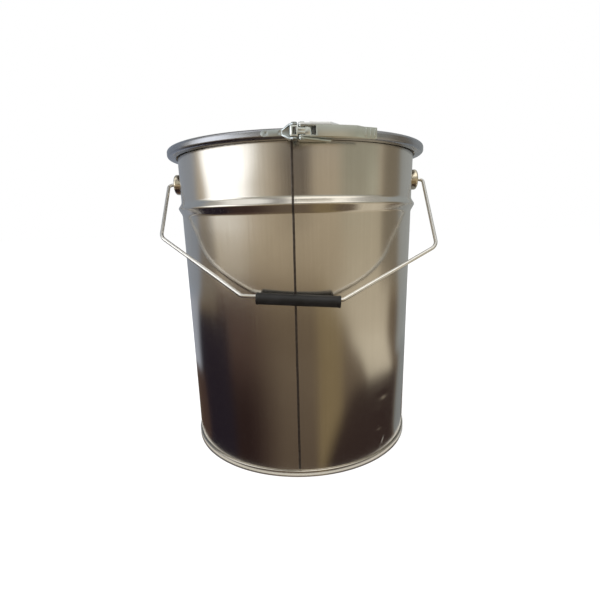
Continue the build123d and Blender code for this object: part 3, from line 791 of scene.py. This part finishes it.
# Collar: distance from the end, radius
GRIP_COLLAR = ((0.0, 5.15), (0.0, 5.9), (0.25, 6.25), (0.6, 6.4), (2.6, 6.4), (3.0, GRIP_WAIST))
grip_left = [(s - GRIP_HALF, r) for s, r in GRIP_COLLAR]
grip_right = [(-s, r) for s, r in reversed(grip_left)]
plain_half = GRIP_HALF - GRIP_PLAIN_END
bore_half = GRIP_HALF - GRIP_BORE_INSET
grip_middle = [
    (s, GRIP_WAIST + GRIP_SWELL * math.cos(math.pi * s / GRIP_SWELL_RUN))
    for s in np.linspace(-plain_half, plain_half, 40)
]
grip_bore = [(s, GRIP_BORE) for s in np.linspace(bore_half, -bore_half, 20)]


def grip_form(a, s):
    """Soft moulding line along both sides and a slight unevenness of the tube, away from the collars."""
    if abs(s) >= GRIP_HALF - GRIP_FORM_END:
        return 0.0
    line = GRIP_LINE_RISE * math.exp(-((math.sin(a) / GRIP_LINE_WIDTH) ** 2))
    uneven = [rise * math.sin(s / run + turns * a) for rise, run, turns in GRIP_WAVES]
    return line + uneven[0] + uneven[1]


grip_loop = grip_left + grip_middle + grip_right + grip_bore
grip = turned("grip_tube", grip_loop, grip_at, grip_axis, GRIP_SIDES, grip_form)
dress(grip, black_plastic, "grip", "black_plastic", "bail_grip")

# Ears and closure pieces: node, body, width of the broken edges in mm, material; those of the hook pin and
# the lever bracket carry painted light and shade
PLATED = (
    ("ear_left", "pail", 0.25, brassy),
    ("ear_right", "pail", 0.25, brassy),
    ("hook_bracket", "ring_left", 0.25, dull_zinc),
    # hook pin: its dark steel is painted shade
    ("hook_pin", "ring_left", 0.15, painted_shade_steel),
    # lever bracket: its pale upper half is painted light, and its lower half painted shade
    ("lever_bracket", "ring_right", 0.25, painted_lit_zinc),
    ("lever_rivets", "ring_right", 0.15, cool_zinc),
    ("lever", "lever", 0.28, zinc),
    ("link_pin", "lever", 0.3, cool_zinc),
    ("link", "link", 0.25, bright_zinc),
)
FOLDS = {"lever": (lever_folds, 1.3), "lever_bracket": (lip_folds, 0.65)}
for node_name, body_name, edge_width, finish_and_painted_light in PLATED:
    piece = softened(node_name + "_plated", node_name, edge_width, *FOLDS.get(node_name, ()))
    dress(piece, finish_and_painted_light, body_name, "zinc_steel", node_name)
    if node_name == "lever_bracket":
        # Painted light: its upper half is pale as if lit from above, and its lower half, facing down, takes
        # the darker material of the rivets as painted shade
        piece.data.materials.append(cool_zinc)
        for face in piece.data.polygons:
            face.material_index = int(face.center.z < CLOSURE_Z * MM)

paint(nodes["lid_gasket"], rubber)
paint(nodes["seam_sealant"], compound)

# Floor: white to the camera and in reflections, plain grey to soft bounced light
FLOOR_HALF = 6
FLOOR_Z = -0.0004
FLOOR_GLOW = 0.62
floor_mat, tree, bsdf = new_material("white_floor")
tree.nodes.remove(bsdf)
speck = ramp(tree, noise(tree, coords(tree, "Object"), 30.0, detail=3.0, rough=0.5), (0.3, 0.50), (0.7, 0.53))
matte = add(tree, "ShaderNodeBsdfDiffuse")
tree.links.new(speck, matte.inputs["Color"])
paper = add(tree, "ShaderNodeEmission", in_Strength=FLOOR_GLOW)
lit = add(tree, "ShaderNodeAddShader")
tree.links.new(matte.outputs["BSDF"], lit.inputs[0])
tree.links.new(paper.outputs["Emission"], lit.inputs[1])
plain = add(tree, "ShaderNodeBsdfDiffuse", in_Color=(0.8, 0.8, 0.8, 1))
chosen_by_ray(tree, plain.outputs["BSDF"], lit.outputs["Shader"], "Material Output")
floor_corners = [(x * FLOOR_HALF, y * FLOOR_HALF, FLOOR_Z) for x, y in ((-1, -1), (1, -1), (1, 1), (-1, 1))]
floor = new_object("floor", floor_corners, [(0, 1, 2, 3)])
floor.data.materials.append(floor_mat)

# Reflected surroundings. A place in them is told by its azimuth and its run in metres: below 0 along the
# floor to the wall, then up the wall, then in over the ceiling
ROOM_RADIUS = 1.6
ROOM_FLOOR_Z = 0.0006
ROOM_SIDES = 96
RUN_END = 4.0
# Heights below this belong to the floor's part of the run, for the sign of the way in from the wall
FLOOR_PART = 0.5
# Azimuths are stretched near the pail, so that the sides of a panel stay upright in the reflection
STRETCH = 0.083
# Tones along the run
ROOM = (
    (-1.45, (0.125, 0.092, 0.066)),
    (-1.15, (0.165, 0.125, 0.088)),
    (-0.95, (0.155, 0.115, 0.078)),
    (-0.75, (0.140, 0.102, 0.066)),
    (-0.55, (0.205, 0.155, 0.103)),
    (-0.3, (0.325, 0.258, 0.170)),
    (0.0, (0.44, 0.36, 0.255)),
    (0.2, (0.50, 0.42, 0.30)),
    (0.54, (0.50, 0.42, 0.32)),
    (0.68, (0.46, 0.455, 0.40)),
    (1.7, (0.46, 0.45, 0.41)),
    (2.5, (0.72, 0.71, 0.68)),
    (4.0, (0.80, 0.80, 0.79)),
)
# Painted panels: left side, right side (azimuth, softness, lean in degrees per metre), foot and top along the
# same run (place, softness), colour, strength
PANELS = (
    # left wall: shaded strip, tall white window with a soft right side
    ((-120, 10, 0), (-92, 12, 0), (-0.5, 0.1), (0.26, 0.05), (0.22, 0.19, 0.155), 1.0),
    ((-80, 8, 0), (-62, 24, 0), (-0.25, 0.2), (0.24, 0.05), (0.58, 0.52, 0.42), 0.8),
    ((-87, 8, -40), (-62, 44, 40), (0.30, 0.05), (0.57, 0.06), (0.90, 0.87, 0.80), 1.0),
    ((-84, 8, -43), (-58, 16, 60), (0.32, 0.05), (0.57, 0.06), (2.0, 2.02, 2.05), 1.0),
    ((-84, 16, 0), (-68, 26, 0), (0.5, 0.1), (1.0, 0.25), (2.0, 2.02, 2.05), 1.0),
    # dark doorway in the middle of the front
    ((-2, 26, 0), (8, 11, 0), (0.30, 0.05), (0.60, 0.06), (0.125, 0.10, 0.082), 1.0),
    # right wall: greenish board with a paler patch, the lower wall, a darker post
    ((46, 10, 0), (78, 8, 0), (0.28, 0.1), (0.66, 0.1), (0.36, 0.345, 0.27), 1.0),
    ((72, 8, 0), (80, 6, 0), (0.36, 0.05), (0.46, 0.06), (0.62, 0.62, 0.50), 0.5),
    ((52, 14, 0), (84, 10, 0), (-0.5, 0.2), (0.28, 0.05), (0.54, 0.475, 0.355), 0.9),
    ((92, 8, 0), (116, 10, 0), (-0.3, 0.1), (0.9, 0.2), (0.23, 0.195, 0.145), 1.0),
    # floor, right: yellow strip, bright mat with a sloping edge, dark corner
    ((24, 12, 0), (38, 12, 0), (-1.5, 0.1), (-0.45, 0.3), (0.27, 0.205, 0.11), 0.85),
    ((61, 14, -44), (98, 12, 0), (-1.0, 0.08), (-0.62, 0.75), (0.59, 0.52, 0.40), 1.0),
    ((79, 9, -95), (108, 18, -70), (-1.205, 0.05), (-1.0, 0.06), (0.70, 0.63, 0.50), 1.0),
    ((8, 20, 170), (128, 8, 0), (-1.6, 0.1), (-1.27, 0.07), (0.042, 0.027, 0.024), 1.0),
    # floor, left: red-brown boards, dark chest with a level top
    ((-85, 10, 0), (-62, 52, 0), (-1.6, 0.1), (-0.36, 0.3), (0.070, 0.040, 0.034), 0.92),
    ((-85, 10, 0), (-62, 50, 0), (-1.6, 0.1), (-1.36, 0.36), (0.018, 0.009, 0.009), 0.85),
    ((-150, 14, 0), (-86, 16, 0), (-1.6, 0.1), (-0.75, 0.045), (0.019, 0.014, 0.022), 1.0),
    # far sides: cool daylight, with a reddish foot on the left
    ((131, 8, -7), (180, 1, 0), (-1.12, 0.08), (1.3, 0.2), (0.35, 0.375, 0.38), 0.9),
    ((141, 6, 0), (180, 1, 0), (-1.6, 0.2), (-1.12, 0.08), (0.27, 0.29, 0.295), 0.9),
    ((-180, 1, 0), (-146, 12, 22), (-1.24, 0.07), (-0.4, 0.2), (0.40, 0.43, 0.50), 0.9),
    ((-180, 1, 0), (-140, 14, 0), (-1.6, 0.2), (-1.27, 0.06), (0.075, 0.045, 0.036), 0.9),
    ((-180, 1, 0), (-124, 12, 12), (-0.4, 0.2), (1.3, 0.2), (0.285, 0.325, 0.39), 0.9),
    # ceiling: dim on the left beside the window's glow, a bright light over the front and right
    ((-180, 1, 0), (-30, 30, 0), (1.9, 0.3), (4.2, 0.1), (0.27, 0.26, 0.25), 0.9),
    ((-90, 16, 0), (-54, 24, 0), (1.6, 0.3), (3.0, 0.8), (1.15, 1.15, 1.13), 1.0),
    ((5, 25, 0), (62, 22, 0), (1.5, 0.5), (4.2, 0.1), (1.5, 1.45, 1.35), 1.0),
    # floor: bright strip close round the foot
    ((-420, 1, 0), (420, 1, 0), (-1.449, 0.003), (-1.4458, 0.0015), (0.85, 0.82, 0.75), 1.0),
)


def fade(tree, value, start, end):
    """Soft step from 0 at the start to 1 at the end."""
    step = add(tree, "ShaderNodeMapRange", in_From_Min=start, in_From_Max=end)
    step.interpolation_type = "SMOOTHSTEP"
    tree.links.new(value, step.inputs["Value"])
    return step.outputs["Result"]


def room_paint():
    """Glowing paint of the surroundings: the tones along the run, then the panels over them."""
    mat, tree, bsdf = new_material("studio_walls")
    tree.nodes.remove(bsdf)
    glow = add(tree, "ShaderNodeEmission")
    tree.links.new(glow.outputs["Emission"], tree.nodes["Material Output"].inputs["Surface"])
    texture = add(tree, "ShaderNodeTexCoord")
    split = add(tree, "ShaderNodeSeparateXYZ")
    tree.links.new(texture.outputs["Object"], split.inputs["Vector"])
    x, y, z = (split.outputs[k] for k in "XYZ")
    azimuth = calc(tree, "DEGREES", calc(tree, "ARCTAN2", x, calc(tree, "MULTIPLY", y, -1.0)))
    squares = calc(tree, "ADD", calc(tree, "MULTIPLY", x, x), calc(tree, "MULTIPLY", y, y))
    flat = calc(tree, "SQRT", squares)
    share = calc(tree, "SUBTRACT", 1.0, calc(tree, "DIVIDE", STRETCH, flat))
    turn = calc(tree, "DIVIDE", azimuth, share)
    above = calc(tree, "MULTIPLY_ADD", calc(tree, "GREATER_THAN", z, FLOOR_PART), 2.0, -1.0)
    run = calc(tree, "MULTIPLY_ADD", calc(tree, "SUBTRACT", ROOM_RADIUS, flat), above, z)
    scale = add(tree, "ShaderNodeMapRange", in_From_Min=-ROOM_RADIUS, in_From_Max=RUN_END)
    tree.links.new(run, scale.inputs["Value"])
    stops = [((at + ROOM_RADIUS) / (RUN_END + ROOM_RADIUS), tint) for at, tint in ROOM]
    colour = ramp(tree, scale.outputs["Result"], *stops)
    for left, right, foot, top, tint, strength in PANELS:
        cover = strength
        for (at, soft, lean), sign in ((left, -1), (right, 1)):
            leaned = calc(tree, "MULTIPLY_ADD", calc(tree, "SUBTRACT", run, foot[0]), -lean, turn)
            cover = calc(tree, "MULTIPLY", fade(tree, leaned, at + sign * soft, at), cover)
        for (at, soft), sign in ((foot, -1), (top, 1)):
            cover = calc(tree, "MULTIPLY", fade(tree, run, at + sign * soft, at), cover)
        colour = mixed(tree, cover, colour, tint)
    tree.links.new(colour, glow.inputs["Color"])
    return mat


def studio_walls():
    """Painted surroundings that only reflections see: pale side walls, a window, a brown floor."""
    verts, faces = [(0, 0, ROOM_FLOOR_Z)], []
    rows = [(ROOM_RADIUS, z) for z in (ROOM_FLOOR_Z, 0.5, 1.0, 1.6)] + [(1.2, 2.1), (0.5, 2.35)]
    for r, z in rows:
        for k in range(ROOM_SIDES):
            a = 2 * math.pi * k / ROOM_SIDES
            verts.append((r * math.sin(a), -r * math.cos(a), z))
    for k in range(ROOM_SIDES):
        after = (k + 1) % ROOM_SIDES
        faces.append((0, 1 + k, 1 + after))
        for i in range(len(rows) - 1):
            low = 1 + i * ROOM_SIDES
            high = low + ROOM_SIDES
            faces.append((low + k, high + k, high + after, low + after))
    top_start = 1 + (len(rows) - 1) * ROOM_SIDES
    faces.append(tuple(range(top_start, top_start + ROOM_SIDES)))
    obj = new_object("studio_walls", verts, faces)
    obj.data.materials.append(room_paint())
    obj.visible_camera = False
    obj.visible_diffuse = False
    obj.visible_shadow = False
    obj.visible_transmission = False


studio_walls()

# Light: a white world and three soft boxes that reflections don't see
SOFT_STRENGTH = 0.75
world = bpy.data.worlds.new("white_studio")
scene.world = world
world.use_nodes = True
tree = world.node_tree
soft_light = tree.nodes["Background"]
soft_light.inputs["Color"].default_value = (1, 1, 1, 1)
soft_light.inputs["Strength"].default_value = SOFT_STRENGTH
white = add(tree, "ShaderNodeBackground", in_Color=(1, 1, 1, 1), in_Strength=1.0)
chosen_by_ray(tree, soft_light.outputs["Background"], white.outputs["Background"], "World Output")

LIGHT_AIM = Vector((0, 0, 0.2))
# Name, place, size, power
SOFT_BOXES = (
    ("key_left", (-1.6, -1.6, 1.9), (1.6, 1.2), 26),
    ("fill_right", (1.8, -1.2, 1.4), (1.4, 1.4), 14),
    ("top", (0, 0.4, 2.2), (2.0, 2.0), 16),
)
for name, place, size, power in SOFT_BOXES:
    light = bpy.data.lights.new(name, "AREA")
    light.shape = "RECTANGLE"
    light.size, light.size_y = size
    light.energy = power
    box = bpy.data.objects.new(name, light)
    box.location = place
    box.rotation_euler = (LIGHT_AIM - Vector(place)).to_track_quat("-Z", "Y").to_euler()
    box.visible_glossy = False
    scene.collection.objects.link(box)

# Camera, as the photo was taken
CAMERA_PLACE = (0, -0.575, 0.29574)
CAMERA_LENS = 24.93
SENSOR_WIDTH = 36
YAW = math.radians(0.17)
PITCH_DOWN = math.radians(11.49)
ROLL = math.radians(-1.36)
level_right = Vector((math.cos(YAW), -math.sin(YAW), 0))
level_ahead = Vector((math.sin(YAW), math.cos(YAW), 0))
straight_up = Vector((0, 0, 1))
ahead = level_ahead * math.cos(PITCH_DOWN) - straight_up * math.sin(PITCH_DOWN)
up = level_ahead * math.sin(PITCH_DOWN) + straight_up * math.cos(PITCH_DOWN)
camera_right = level_right * math.cos(ROLL) + up * math.sin(ROLL)
camera_up = up * math.cos(ROLL) - level_right * math.sin(ROLL)
camera_data = bpy.data.cameras.new("camera")
camera_data.sensor_width = SENSOR_WIDTH
camera_data.lens = CAMERA_LENS
camera = bpy.data.objects.new("camera", camera_data)
matrix = Matrix((camera_right, camera_up, -ahead)).transposed().to_4x4()
matrix.translation = CAMERA_PLACE
camera.matrix_world = matrix
scene.collection.objects.link(camera)
scene.camera = camera

scene.view_settings.view_transform = "Standard"
